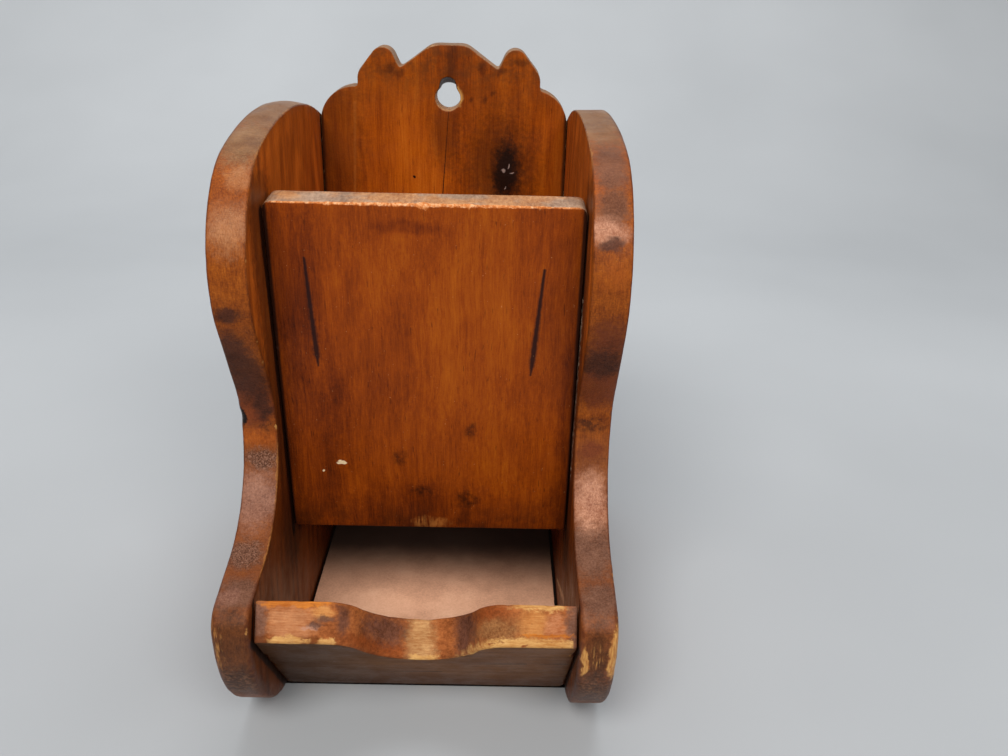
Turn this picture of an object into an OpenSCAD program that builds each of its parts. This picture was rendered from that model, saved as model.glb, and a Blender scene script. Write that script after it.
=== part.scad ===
// Kitchen match box: a nailed pine wall box shaped like a wing chair.
// A tall hopper stands between two scrolled sides, and a leaning lip closes the tray at its foot.
// X runs across the box, -Y faces the user, +Z is up. Sections are drawn as [p, z], where p is
// the distance forward of the rear plane.

/* [Box] */
// Clear width between the two sides
inner_w = 127; // [90:1:170]
// Thickness of each side board
side_t = 15; // [9:0.5:20]
// Thickness of the back board
back_t = 15; // [9:0.5:20]
// Thickness of the hopper front
front_t = 15; // [9:0.5:20]
// Thickness of the tray lip
lip_t = 15; // [9:0.5:20]
// Thickness of the floor panel
floor_t = 3.2; // [2:0.1:6]

/* [Side scroll] */
// Flat length of the base, from the rear plane to where the foot curves up
base_len = 154; // [130:1:180]
// Radius of the rounded foot
foot_r = 67; // [50:1:80]
// Radius of the nose above the foot
nose_r = 9.6; // [5:0.1:16]
// Slope of the toe behind the nose, degrees
toe_rise = 10; // [2:1:20]
// Straight run of the toe
toe_run = 23.8; // [10:0.2:40]
// Radius of the hollow waist
waist_r = 44.6; // [35:0.2:55]
// Rake of the neck above the waist, degrees from upright
neck_rake = 26.5; // [18:0.5:32]
// Straight run of the neck
neck_run = 31; // [15:0.5:45]
// Radius of the upper lobe
lobe_r = 47; // [38:0.5:60]
// Slope where the lobe meets the crest, degrees
crest_slope = 14.5; // [8:0.5:18]
// Radius of the long crest behind the lobe
crest_r = 225; // [180:5:300]

/* [Back crest] */
// Height of the crown above the box's base
back_h = 268.6; // [255:0.1:300]
// Shift of the hand-cut crest pattern to one side
crest_shift = 2.5; // [-4:0.1:4]
// Radius of each rounded shoulder
shoulder_r = 18; // [10:0.5:22]
// Drop of the shoulder tops below the crown
shoulder_drop = 20.8; // [18:0.2:26]
// Distance of the shoulder steps from the middle of the pattern
step_x = 46.4; // [42:0.1:48]
// Half width of the flat crown
crown_flat = 5.5; // [3:0.1:9]
// Radius of the crown's two corners
crown_r = 10; // [5:0.5:14]
// Distance of the V notches from the middle of the pattern
notch_x = 25; // [22:0.1:25.4]
// Depth of the V notches below the crown
notch_drop = 11.5; // [8:0.1:13]
// Radius of the horn tips
horn_r = 6; // [4:0.1:6.5]
// Distance of the horn tips from the middle of the pattern
horn_x = 33.6; // [32.2:0.1:34.4]
// Drop of the horn tips below the crown
horn_drop = 1.6; // [0:0.1:4]
// Radius of the horns' outer curve
horn_heel_r = 8; // [5:0.1:9]
// Rise of the outer curve's centre above the shoulders
horn_heel_rise = 4; // [3:0.1:6]

/* [Hanging hole] */
// Diameter of the drilled hanging hole
hole_d = 12.7; // [10:0.1:15]
// Drop of the hole's centre below the crown
hole_drop = 25.6; // [22:0.1:40]
// Shift of the hole from the middle of the board
hole_shift = 2; // [-4:0.1:4]
// Radius of the hollow that a nail has worn in the hole's top
wear_r = 4.2; // [2:0.1:4.4]
// Rise of the worn hollow's centre above the hole's centre
wear_rise = 6.2; // [5.8:0.1:7]

/* [Hopper front] */
// Length of the front board along its slope
front_len = 156; // [120:1:175]
// Forward lean of the front board, degrees
front_lean = 4.5; // [0:0.5:8]
// Height of the front board's lower edge above the base
front_z = 63.5; // [50:0.5:80]
// Setback of the front face behind the waist
front_setback = 11.8; // [4:0.1:20]
// Shrinkage gap at each end of the front board
front_gap = 0.3; // [0.2:0.1:0.9]
// Radius of the front board's top corners
front_corner_r = 2.5; // [1:0.5:10]

/* [Tray lip] */
// Forward lean of the lip, degrees
lip_lean = 37.4; // [25:0.2:42]
// Setback of the lip's front edge behind the nose
lip_inset = 2.8; // [1:0.1:6]
// Drop of the lip's front edge below the middle of the nose
lip_drop = 5; // [1:0.1:9]
// Height that the lip's top edge gains from front to rear, along the board
lip_bevel = 7; // [0:0.1:9]
// Gap at each end of the lip
lip_gap = 0.5; // [0.2:0.1:0.9]
// Width of the finger scallop
scallop_w = 72; // [50:1:80]
// Depth of the finger scallop
scallop_d = 22; // [12:0.5:26]
// Radius of the scallop's two shoulders
scallop_shoulder_r = 14.5; // [8:0.5:18]

/* [Floor panel] */
// Gap between the floor panel and each side
floor_gap = 1.2; // [0.3:0.1:2]
// Setback of the floor panel's front edge behind the lip's front face
floor_setback = 3; // [1:0.1:4]

/* [Nails] */
// Diameter of the nail shanks
nail_d = 2; // [1.2:0.1:2.8]
// Length of the nails
nail_len = 36; // [28:1:45]
// Diameter of the nail heads
nail_head_d = 3.6; // [3:0.1:5]
// Thickness of the nail heads
nail_head_t = 1.2; // [0.6:0.1:2]
// Diameter of the floor brads' shanks
brad_d = 1.4; // [1:0.1:1.8]
// Length of the floor brads
brad_len = 13; // [8:0.5:14]
// Diameter of the brads' heads
brad_head_d = 3; // [2:0.1:3.2]
// Thickness of the brads' heads
brad_head_t = 0.8; // [0.4:0.1:1.2]
// Distance of the end nails from the ends of the boards that they hold
nail_inset = 22; // [12:1:26]
// Distance of the outer brads from the ends of the boards that they hold
brad_inset = 20; // [10:1:30]

/* [Hidden] */

STEP_ANGLE = 5;
CUT = 1;
SIDE_TINT = "#7a3a1a";
BACK_TINT = "#9a5220";
FRONT_TINT = "#a5581f";
LIP_TINT = "#b0703a";
FLOOR_TINT = "#aa8773";
NAIL_TINT = "#4a4642";

// Overall depth, from the rear plane to the nose
reach = base_len + foot_r;

// Unit vector at an angle
function ray(a) = [cos(a), sin(a)];

// Points along an arc from one angle to another, either way round
function arc(c, r, from, to) =
    let (n = max(1, ceil(abs(to - from) / STEP_ANGLE)))
    [for (i = [0 : n]) c + r * ray(from + (to - from) * i / n)];

// Centres of the scroll's arcs, each tangent to the one before it
foot_c = [base_len, foot_r];
nose_c = foot_c + [foot_r - nose_r, 0];
toe_a = 90 - toe_rise;
waist_c = nose_c + (nose_r + waist_r) * ray(toe_a) + toe_run * ray(toe_a + 90);
neck_a = 180 - neck_rake;
lobe_c = waist_c + (waist_r + lobe_r) * ray(neck_a) + neck_run * ray(neck_a - 90);
crest_a = 90 - crest_slope;
crest_c = lobe_c - (crest_r - lobe_r) * ray(crest_a);
rear_a = acos(-crest_c[0] / crest_r);

// Outline of a side board, counter-clockwise from the lower rear corner
function side_outline() = concat(
    [[0, 0]],
    arc(foot_c, foot_r, -90, 0),
    arc(nose_c, nose_r, 0, toe_a),
    arc(waist_c, waist_r, toe_a + 180, neck_a),
    arc(lobe_c, lobe_r, neck_a - 180, crest_a),
    arc(crest_c, crest_r, crest_a, rear_a));

// Outline of a belt drawn round pegs [x, y, r]: a positive radius bulges, and 0 is a sharp corner
function belt_angle(a, b) =
    let (d = [b[0] - a[0], b[1] - a[1]])
    atan2(d[1], d[0]) - asin(max(-1, min(1, (b[2] - a[2]) / norm(d))));
function turn(from, to) = let (d = (to - from) % 360) d < 0 ? d + 360 : d;
function belt(pegs) =
    let (n = len(pegs))
    [for (i = [0 : n - 1])
        let (peg = pegs[i],
             a = belt_angle(pegs[(i + n - 1) % n], peg),
             b = belt_angle(peg, pegs[(i + 1) % n]),
             points = peg[2] == 0 ? [[peg[0], peg[1]]]
                 : arc([peg[0], peg[1]], peg[2], a - 90, a - 90 + turn(a, b)))
        each points];

// Draws a [p, z] section and runs it across the box, centred, width w
module across(w) {
    translate([-w / 2, reach / 2, 0])
        rotate([90, 0, 90])
            linear_extrude(w)
                mirror([1, 0]) children();
}

// Places children at a point of the [p, z] section, with -Y turned to face along angle a above forward
module at_section(point, a = 0) {
    translate([0, reach / 2 - point[0], point[1]])
        rotate([-a, 0, 0]) children();
}

// Lowest front point of the front board, and the direction up its slope
front_up = ray(90 - front_lean);
front_foot = [waist_c[0] - waist_r - front_setback - (waist_c[1] - front_z) * tan(front_lean), front_z];
front_w = inner_w - 2 * front_gap;

// The lip's front edge, its directions up and rearward, and where its faces meet the floor panel
lip_up = ray(90 - lip_lean);
lip_back = ray(180 - lip_lean);
lip_edge = [reach - lip_inset, foot_r - lip_drop];
lip_toe = lip_edge - (lip_edge[1] - floor_t) / lip_up[1] * lip_up;
lip_heel = lip_toe - [lip_t / cos(lip_lean), 0];
lip_crest = lip_edge + lip_t * lip_back + lip_bevel * lip_up;
lip_w = inner_w - 2 * lip_gap;
lip_len = norm(lip_edge - lip_toe);

floor_len = lip_toe[0] - floor_setback;
floor_w = inner_w - 2 * floor_gap;

// Nail points on the left and right faces, as [p, z], by the board that each nail holds
function spread(a, b, n) = [for (i = [0 : n - 1]) a + (b - a) * i / (n - 1)];
back_nails = [for (z = spread(floor_t + nail_inset, crest_c[1] + crest_r - 2 * nail_inset, 3)) [back_t / 2, z]];
front_mid = front_foot - front_t / 2 * ray(-front_lean);
front_nails = [for (s = spread(nail_inset, front_len - nail_inset, 3)) front_mid + s * front_up];
lip_mid = lip_toe + lip_t / 2 * lip_back;
lip_nails = [for (s = spread(nail_inset, lip_len - nail_inset / 2, 2)) lip_mid + s * lip_up];
nail_points = concat(back_nails, front_nails, lip_nails);

// Brad points under the floor panel, as [x, p]
brad_xs = spread(brad_inset - inner_w / 2, inner_w / 2 - brad_inset, 3);
brad_ps = [back_t / 2, floor_len - brad_head_d - floor_setback / 2];
brad_points = [for (p = brad_ps, x = brad_xs) [x, p]];

// A flat-headed nail with its head's top at the origin, pointing along +Z
module nail(d, length, head_d, head_t) {
    cylinder(h = length, d = d, $fn = 24);
    cylinder(h = head_t, d = head_d, $fn = 24);
}

// Nails driven through the right side, heads flush with its outer face
module nails() {
    for (point = nail_points)
        translate([inner_w / 2 + side_t, reach / 2 - point[0], point[1]])
            rotate([0, -90, 0])
                nail(nail_d, nail_len, nail_head_d, nail_head_t);
}

module brads() {
    for (point = brad_points)
        translate([point[0], reach / 2 - point[1], 0])
            nail(brad_d, brad_len, brad_head_d, brad_head_t);
}

module both_nails() {
    nails();
    mirror([1, 0, 0]) nails();
}

// The right side board; the left one is its mirror image
module side() {
    difference() {
        translate([inner_w / 2 + side_t / 2, 0, 0])
            across(side_t) polygon(side_outline());
        nails();
    }
}

module left_side() {
    color(SIDE_TINT) mirror([1, 0, 0]) side();
}

module right_side() {
    color(SIDE_TINT) side();
}

// Corner points of the rounded shoulder on side s, from the board's edge to the step of the crest
function shoulder(s) =
    let (c = [s * (inner_w / 2 - shoulder_r), back_h - shoulder_drop - shoulder_r],
         end_a = acos((crest_shift + s * step_x - c[0]) / shoulder_r))
    [for (q = arc(c, shoulder_r, 90 - 90 * s, end_a)) [q[0], q[1], 0]];

// Pegs of one half of the crest, from the shoulder to the crown, on side s of the pattern
function crest_pegs(s) = concat(shoulder(s), [
    [crest_shift + s * (step_x - horn_heel_r), back_h - shoulder_drop + horn_heel_rise, horn_heel_r],
    [crest_shift + s * horn_x, back_h - horn_drop - horn_r, horn_r],
    [crest_shift + s * notch_x, back_h - notch_drop, 0],
    [crest_shift + s * crown_flat, back_h - crown_r, crown_r]]);
function reversed(list) = [for (i = [len(list) - 1 : -1 : 0]) list[i]];
function back_pegs() = concat(
    [[-inner_w / 2, floor_t, 0], [inner_w / 2, floor_t, 0]],
    crest_pegs(1), reversed(crest_pegs(-1)));

module back_board() {
    color(BACK_TINT)
        difference() {
            translate([0, reach / 2, 0])
                rotate([90, 0, 0])
                    linear_extrude(back_t) polygon(belt(back_pegs()));
            for (bore = [[0, hole_d / 2], [wear_rise, wear_r]])
                translate([hole_shift, reach / 2 + CUT, back_h - hole_drop + bore[0]])
                    rotate([90, 0, 0])
                        cylinder(h = back_t + 2 * CUT, r = bore[1], $fn = 64);
            both_nails();
            brads();
        }
}

// The front board lies along its slope, with its front face at the local origin
module hopper_front() {
    pegs = [[-front_w / 2, 0, 0], [front_w / 2, 0, 0],
            [front_w / 2 - front_corner_r, front_len - front_corner_r, front_corner_r],
            [front_corner_r - front_w / 2, front_len - front_corner_r, front_corner_r]];
    color(FRONT_TINT)
        difference() {
            at_section(front_foot, -front_lean)
                translate([0, front_t, 0])
                    rotate([90, 0, 0])
                        linear_extrude(front_t) polygon(belt(pegs));
            both_nails();
        }
}

// Finger scallop in the lip's top edge, drawn from the edge down, with tangent shoulders
module scallop() {
    slope = 2 * atan(2 * scallop_d / scallop_w);
    bowl_r = scallop_w / 2 / sin(slope) - scallop_shoulder_r;
    shoulder_c = [scallop_w / 2, -scallop_shoulder_r];
    right = arc(shoulder_c, scallop_shoulder_r, 90 + slope, 90);
    bowl = arc([0, bowl_r - scallop_d], bowl_r, -90 - slope, -90 + slope);
    left = arc([-shoulder_c[0], shoulder_c[1]], scallop_shoulder_r, 90, 90 - slope);
    polygon(concat(left, bowl, right, [[scallop_w / 2, 2 * lip_t], [-scallop_w / 2, 2 * lip_t]]));
}

// The lip: a leaning section, notched along the slope of its bevelled top edge
module tray_lip() {
    bevel_a = atan2(lip_edge[1] - lip_crest[1], lip_edge[0] - lip_crest[0]);
    color(LIP_TINT)
        difference() {
            across(lip_w) polygon([lip_heel, lip_toe, lip_edge, lip_crest]);
            at_section(lip_edge, bevel_a)
                translate([0, 2 * lip_t, 0])
                    rotate([90, 0, 0])
                        linear_extrude(4 * lip_t) scallop();
            both_nails();
            brads();
        }
}

module floor_panel() {
    color(FLOOR_TINT)
        difference() {
            translate([-floor_w / 2, reach / 2 - floor_len, 0])
                cube([floor_w, floor_len, floor_t]);
            brads();
        }
}

module left_nails() {
    color(NAIL_TINT) mirror([1, 0, 0]) nails();
}

module right_nails() {
    color(NAIL_TINT) nails();
}

module floor_brads() {
    color(NAIL_TINT) brads();
}

left_side();
right_side();
back_board();
hopper_front();
tray_lip();
floor_panel();
left_nails();
right_nails();
floor_brads();
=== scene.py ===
"""Looks of the kitchen match box: worn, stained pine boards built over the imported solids."""

import math
from functools import reduce

import bpy
import numpy as np
from mathutils import Matrix, Vector, noise
from mathutils.geometry import delaunay_2d_cdt
from mathutils.kdtree import KDTree


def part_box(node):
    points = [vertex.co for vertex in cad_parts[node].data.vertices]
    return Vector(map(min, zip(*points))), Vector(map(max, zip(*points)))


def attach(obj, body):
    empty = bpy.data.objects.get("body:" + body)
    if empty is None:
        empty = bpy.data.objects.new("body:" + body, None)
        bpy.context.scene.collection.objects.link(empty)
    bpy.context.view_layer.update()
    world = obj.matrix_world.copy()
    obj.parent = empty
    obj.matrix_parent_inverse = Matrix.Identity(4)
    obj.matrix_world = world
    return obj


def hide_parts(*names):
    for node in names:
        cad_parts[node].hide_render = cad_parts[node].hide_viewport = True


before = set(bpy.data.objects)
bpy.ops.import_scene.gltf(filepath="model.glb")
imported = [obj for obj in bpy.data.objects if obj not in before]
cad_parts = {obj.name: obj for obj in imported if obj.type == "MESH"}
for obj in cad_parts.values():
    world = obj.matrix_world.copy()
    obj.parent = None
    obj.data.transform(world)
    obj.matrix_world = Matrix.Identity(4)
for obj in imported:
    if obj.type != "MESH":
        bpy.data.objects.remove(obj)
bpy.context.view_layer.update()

MM = 0.001
X, Y, Z = Vector((1, 0, 0)), Vector((0, 1, 0)), Vector((0, 0, 1))

# Mesh fineness
STEP = 1.2 * MM
GRID = 3.0 * MM
GRID_CLEARANCE = 0.55 * GRID
FILLET_ROWS = 5
BAND_ROWS = 5
HARD_TURN = math.radians(25)
LONG_EDGE = 6 * MM
STRAIGHT_SHARE = 3
HOLE_PERIMETER = 25 * MM
NAIL_SIDES = 18

# Share by which the old boards have spread at the upper front, and where the spread grows
SPREAD = 0.012
SPREAD_FOOT, SPREAD_RISE = 90 * MM, 120 * MM
SPREAD_REAR, SPREAD_RUN = 60 * MM, 90 * MM

# Free edges look up or to the front. They stand proud by a share of their arris radius, to keep the outline
FREE_WAY = (Z - Y).normalized()
FREE_SLOPE = 1.5
PROUD_SHARE = 0.3

# Worn arrises: slow changes of radius, chips, and wear that fades into the faces
SLOW_SIZE, SLOW_SHARE = 26 * MM, 0.4
CHIP_SIZE, CHIP_START = 5 * MM, 0.25
LEAST_EASE = 0.3
FAR_SEED = 7
RIM_WEAR = 0.5
RIM_FADE = 1.5 * MM

# Unevenness of the faces, as (size, depth)
RELIEF = [(45 * MM, 0.16 * MM), (11 * MM, 0.07 * MM), (3.5 * MM, 0.04 * MM)]

# Dents round the nails and profile of their heads, as (share of the hole's radius, depth)
DENT_DEPTH = 0.6 * MM
DENT_RINGS = [(1.05, DENT_DEPTH), (1.35, 0.2 * MM), (1.8, 0.0)]
HEAD_PROFILE = [(0.45, 0.08 * MM), (0.85, 0.2 * MM), (0.97, 0.4 * MM), (0.97, 0.8 * MM), (0.55, 1.2 * MM)]
DOME_DEPTH = 0.05 * MM
HAMMER_SIZE, HAMMER_DEPTH = 1.1 * MM, 0.12 * MM
POINT_LENGTH = 3 * MM


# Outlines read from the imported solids

def perimeter(loop):
    return sum((b - a).length for a, b in zip(loop, loop[1:] + loop[:1]))


def face_loops(node, normal):
    """Closed outlines of a node's outermost flat face towards normal, the longest first."""
    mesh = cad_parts[node].data
    flat = [p for p in mesh.polygons if p.normal.dot(normal) > 0.9999]
    top = max(p.center.dot(normal) for p in flat)
    rim, points = set(), {}
    for polygon in flat:
        if top - polygon.center.dot(normal) > 0.01 * MM:
            continue
        corners = [mesh.vertices[i].co for i in polygon.vertices]
        keys = [tuple(round(c * 1e6) for c in corner) for corner in corners]
        points.update(zip(keys, corners))
        for a, b in zip(keys, keys[1:] + keys[:1]):
            if (b, a) in rim:
                rim.remove((b, a))
            else:
                rim.add((a, b))
    following = dict(rim)
    loops = []
    while following:
        first, after = following.popitem()
        loop = [first]
        while after != first:
            loop.append(after)
            after = following.pop(after)
        loops.append([points[k].copy() for k in loop])
    return sorted(loops, key=perimeter, reverse=True)


def outlines(node, normal):
    """Outlines of a node's face, without those of its nail holes."""
    return [loop for loop in face_loops(node, normal) if perimeter(loop) > HOLE_PERIMETER]


def nail_holes(node, normal):
    """Centres and radii of the nail holes in a node's face."""
    holes = []
    for loop in face_loops(node, normal):
        if perimeter(loop) < HOLE_PERIMETER:
            centre = sum(loop, Vector()) / len(loop)
            holes.append((centre, (loop[0] - centre).length))
    return holes


def facing(node, way):
    """Normal of a node's largest flat face within 60 degrees of a way."""
    sums = {}
    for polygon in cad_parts[node].data.polygons:
        if polygon.normal.dot(way) > 0.5:
            name = tuple(round(c, 3) for c in polygon.normal)
            sums[name] = sums.get(name, Vector()) + polygon.area * polygon.normal
    return max(sums.values(), key=lambda total: total.length).normalized()


def hard_corners(loop):
    """Numbers of the points where a loop turns sharply."""
    ways = [b - a for a, b in zip(loop, loop[1:] + loop[:1])]
    return [i for i, way in enumerate(ways) if ways[i - 1].angle(way) > HARD_TURN]


def stretches(loop, start):
    """A loop cut at its hard corners, from the one nearest start; whole if it has none."""
    n = len(loop)
    corners = hard_corners(loop) or [0]
    first = min(corners, key=lambda i: (loop[i] - start).length)
    corners = sorted(corners, key=lambda i: (i - first) % n)
    pieces = []
    for a, b in zip(corners, corners[1:] + corners[:1]):
        count = (b - a) % n or n
        pieces.append([loop[(a + k) % n] for k in range(count + 1)])
    return pieces


def smooth_points(piece, count):
    """Points spaced evenly along a smooth curve through a stretch's corners, without its last."""
    chords = [(b - a).length for a, b in zip(piece, piece[1:])]
    corners = [piece[0]]
    for i, length in enumerate(chords):
        beside = max(chords[max(i - 1, 0):i] + chords[i + 1:i + 2], default=length)
        cuts = math.ceil(length / LONG_EDGE) if length > STRAIGHT_SHARE * beside else 1
        corners += [piece[i].lerp(piece[i + 1], k / cuts) for k in range(1, cuts + 1)]
    steps = [b - a for a, b in zip(corners, corners[1:])]
    lengths = [s.length for s in steps]
    ways = [s.normalized() for s in steps]
    tangents = [ways[0]]
    for i in range(1, len(steps)):
        tangents.append((ways[i - 1] * lengths[i] + ways[i] * lengths[i - 1]).normalized())
    tangents.append(ways[-1])
    ends = np.cumsum([0.0] + lengths)
    points = []
    for distance in np.linspace(0, ends[-1], count, endpoint=False):
        i = min(int(np.searchsorted(ends, distance, side="right")) - 1, len(steps) - 1)
        t = (distance - ends[i]) / lengths[i]
        lead, trail = tangents[i] * lengths[i], tangents[i + 1] * lengths[i]
        a, b = corners[i], corners[i + 1]
        points.append(a * (2 * t**3 - 3 * t**2 + 1) + lead * (t**3 - 2 * t**2 + t)
                      + b * (3 * t**2 - 2 * t**3) + trail * (t**3 - t**2))
    return points


def matched_outlines(front, rear):
    """Evenly spaced points on a front outline, and the points opposite them on the rear one."""
    start = min(front, key=lambda p: p.x + p.z)
    near, far = [], []
    for a, b in zip(stretches(front, start), stretches(rear[::-1], start)):
        count = max(3, round(sum((q - p).length for p, q in zip(a, a[1:])) / STEP))
        near += smooth_points(a, count)
        far += smooth_points(b, count)
    return near, far


def outward(points, normal):
    """Directions out of the material along an outline, in the plane of its face."""
    n = len(points)
    return [(points[(i + 1) % n] - points[i - 1]).cross(normal).normalized() for i in range(n)]


def softened(points, passes=2, reach=2):
    """An outline with its hard corners rounded off over a few points."""
    n = len(points)
    near = sorted({(i + k) % n for i in hard_corners(points) for k in range(-reach, reach + 1)})
    for _ in range(passes):
        moved = {i: (points[i - 1] + 2 * points[i] + points[(i + 1) % n]) / 4 for i in near}
        for i, point in moved.items():
            points[i] = point
    return points


# Boards with eased, worn arrises

def clamped(value):
    return min(1, max(0, value))


def spread(point):
    """A point moved outwards as far as the old boards have spread there."""
    up = clamped((point.z - SPREAD_FOOT) / SPREAD_RISE)
    ahead = clamped((SPREAD_REAR - point.y) / SPREAD_RUN)
    return Vector((point.x * (1 + SPREAD * ahead * up * up * (3 - 2 * up)), point.y, point.z))


def amount(point, spots):
    """Sum of some (centre, radii, height) spots at a point, each falling smoothly to 0 at its radii."""
    total = 0
    for centre, radii, height in spots:
        square = sum(((p / MM - c) / r) ** 2 for p, c, r in zip(point, centre, radii))
        total += height * MM * max(0, 1 - square) ** 2
    return total


def arris_wear(points, ease, chipping, spots, seed):
    """Radius of the worn arris at each point of an outline, and how far it is chipped there."""
    radii, chips = [], []
    for p in points:
        slow = noise.noise(p / SLOW_SIZE + seed * X)
        chip = max(0, noise.noise(p / CHIP_SIZE + seed * Y) - CHIP_START)
        radius = ease * (1 + SLOW_SHARE * slow + chipping * chip) + amount(p, spots)
        radii.append(max(radius, LEAST_EASE * ease))
        chips.append(chip)
    return radii, chips


def inside(points, rings):
    """Which 2-D points lie inside the rings, by the even-odd rule."""
    points = np.asarray(points)
    result = np.zeros(len(points), bool)
    for ring in rings:
        a = np.asarray(ring)
        b = np.roll(a, -1, axis=0)
        for (x0, y0), (x1, y1) in zip(a, b):
            crosses = (y0 > points[:, 1]) != (y1 > points[:, 1])
            if crosses.any():
                at = x0 + (points[:, 1] - y0) * (x1 - x0) / (y1 - y0)
                result ^= crosses & (points[:, 0] < at)
    return result


def tree_of(points):
    """A tree that finds the nearest of some points."""
    tree = KDTree(len(points))
    for i, point in enumerate(points):
        tree.insert(point, i)
    tree.balance()
    return tree


def lattice(rings, details):
    """Points of a triangular grid inside the rings, clear of them and of the details."""
    everything = np.vstack([np.asarray(r) for r in rings])
    low, high = everything.min(0), everything.max(0)
    tree = tree_of([(*p, 0) for p in [*everything, *details]])
    rows = np.arange(low[1], high[1], GRID * math.sqrt(0.75))
    columns = np.arange(low[0], high[0], GRID)
    points = [(x + (k % 2) * GRID / 2, y) for k, y in enumerate(rows) for x in columns]
    kept = inside(points, rings)
    return [p for p, k in zip(points, kept) if k and tree.find((*p, 0))[2] > GRID_CLEARANCE]


def smooth_mesh(name, points, faces):
    mesh = bpy.data.meshes.new(name)
    mesh.from_pydata(points, [], faces)
    mesh.update()
    mesh.polygons.foreach_set("use_smooth", [True] * len(mesh.polygons))
    return mesh


def placed(name, data):
    """A new object in the scene, with some data."""
    obj = bpy.data.objects.new(name, data)
    bpy.context.scene.collection.objects.link(obj)
    return obj


def piece(name, mesh, node, slot):
    """Puts a mesh in the scene as the piece that stands for a node, with the finish of a slot."""
    mesh.materials.append(finishes[slot])
    obj = placed(name, mesh)
    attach(obj, "root")
    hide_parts(node)


class Board:
    """Vertices, faces and wear of one board's mesh."""

    def __init__(self):
        self.points, self.faces, self.wear = [], [], []

    def add(self, point, arris=0.0, chip=0.0, band=0.0, across=0.0):
        self.points.append(Vector(point))
        self.wear.append((arris, chip, band, across))
        return len(self.points) - 1

    def edge_band(self, near, far, normal, ease, chipping, spots, crowns, seed):
        """Skins an outline's edge between its two worn arrises; returns the two face rings."""
        out = outward(near, normal)
        worn = [arris_wear(p, ease, chipping, spots, seed + k) for p, k in ((near, 0), (far, FAR_SEED))]
        radii, chips = zip(*worn)
        proud = [PROUD_SHARE * clamped(FREE_SLOPE * o.dot(FREE_WAY)) for o in out]
        near = [p + s * r * o for p, s, r, o in zip(near, proud, radii[0], out)]
        far = [p + s * r * o for p, s, r, o in zip(far, proud, radii[1], out)]
        across = [(b - a).normalized() for a, b in zip(near, far)]
        crown = [amount(p, crowns) for p in near]
        starts = [p + r * x for p, r, x in zip(near, radii[0], across)]
        ends = [p - r * x for p, r, x in zip(far, radii[1], across)]
        angles = [math.pi / 2 * k / (FILLET_ROWS - 1) for k in range(FILLET_ROWS)]
        rows = []

        def row(points, arris, chips, band, share):
            rows.append([self.add(p, arris, c, band, share) for p, c in zip(points, chips)])

        def fillet(points, side, way, order):
            for a in order:
                inset, depth = 1 - math.sin(a), way * (1 - math.cos(a))
                rim = zip(points, radii[side], out, across)
                moved = [p - r * (inset * o - depth * x) for p, r, o, x in rim]
                row(moved, RIM_WEAR + (1 - RIM_WEAR) * math.sin(2 * a), chips[side], 2 * a / math.pi, side)

        fillet(near, 0, 1, angles)
        for k in range(1, BAND_ROWS + 1):
            t = k / (BAND_ROWS + 1)
            rise = 1 - (2 * t - 1) ** 2
            moved = [a.lerp(b, t) + rise * c * o for a, b, c, o in zip(starts, ends, crown, out)]
            row(moved, 0, [0] * len(moved), 1, t)
        fillet(far, 1, -1, angles[::-1])
        for upper, lower in zip(rows, rows[1:]):
            for i in range(len(upper)):
                j = (i + 1) % len(upper)
                self.faces.append((upper[i], lower[i], lower[j], upper[j]))
        return rows[0], rows[-1]

    def fill(self, rings, normal, details):
        """Covers a flat face inside its rings with a grid; details are (point, depth) pairs."""
        side = normal.orthogonal().normalized()
        up = normal.cross(side)
        level = self.points[rings[0][0]].dot(normal)

        def flat(p):
            return (p.dot(side), p.dot(up))

        flat_rings = [[flat(self.points[i]) for i in ring] for ring in rings]
        dents = [(flat(p), depth) for p, depth in details]
        grid = lattice(flat_rings, [p for p, _ in dents])
        indices = [i for ring in rings for i in ring]
        tree = tree_of([self.points[i] for i in indices])
        for (u, v), depth in dents + [(p, 0) for p in grid]:
            point = u * side + v * up + (level - depth) * normal
            distance = tree.find(point)[2]
            indices.append(self.add(point, RIM_WEAR * math.exp(-distance / RIM_FADE)))
        coords = [Vector(flat(self.points[i])) for i in indices]
        edges, start = [], 0
        for ring in rings:
            n = len(ring)
            edges += [(start + k, start + (k + 1) % n) for k in range(n)]
            start += n
        points, _, faces, sources, _, _ = delaunay_2d_cdt(coords, edges, [], 0, 1e-9)
        numbers = [indices[source[0]] if source else self.add(p.x * side + p.y * up + level * normal)
                   for p, source in zip(points, sources)]
        centres = [sum((points[i] for i in face), Vector((0, 0))) / 3 for face in faces]
        for face, kept in zip(faces, inside([tuple(c) for c in centres], flat_rings)):
            if kept:
                self.faces.append([numbers[i] for i in face])

    def finish(self, name, node, slot):
        """Makes the object, roughens it and lets it stand for its node."""
        mesh = smooth_mesh(name, [spread(p) for p in self.points], self.faces)
        normals = [v.normal.copy() for v in mesh.vertices]
        for vertex, way in zip(mesh.vertices, normals):
            p = vertex.co.copy()
            vertex.co += way * sum(depth * noise.noise(p / size) for size, depth in RELIEF)
        for label, values in zip(("arris", "chip", "band", "across"), zip(*self.wear)):
            mesh.attributes.new(label, "FLOAT", "POINT").data.foreach_set("value", values)
        piece(name, mesh, node, slot)


def spokes(axis):
    """Unit vectors round an axis, one for each side of a nail."""
    side = axis.orthogonal().normalized()
    return [Matrix.Rotation(2 * math.pi * k / NAIL_SIDES, 3, axis) @ side for k in range(NAIL_SIDES)]


def nail_dents(node, normal):
    """Ring-shaped dents round the nail holes of a face, as (point, depth) pairs."""
    details = []
    for centre, radius in nail_holes(node, normal):
        details.append((centre, DENT_DEPTH))
        for share, depth in DENT_RINGS:
            details += [(centre + share * radius * spoke, depth) for spoke in spokes(normal)]
    return details


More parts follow.
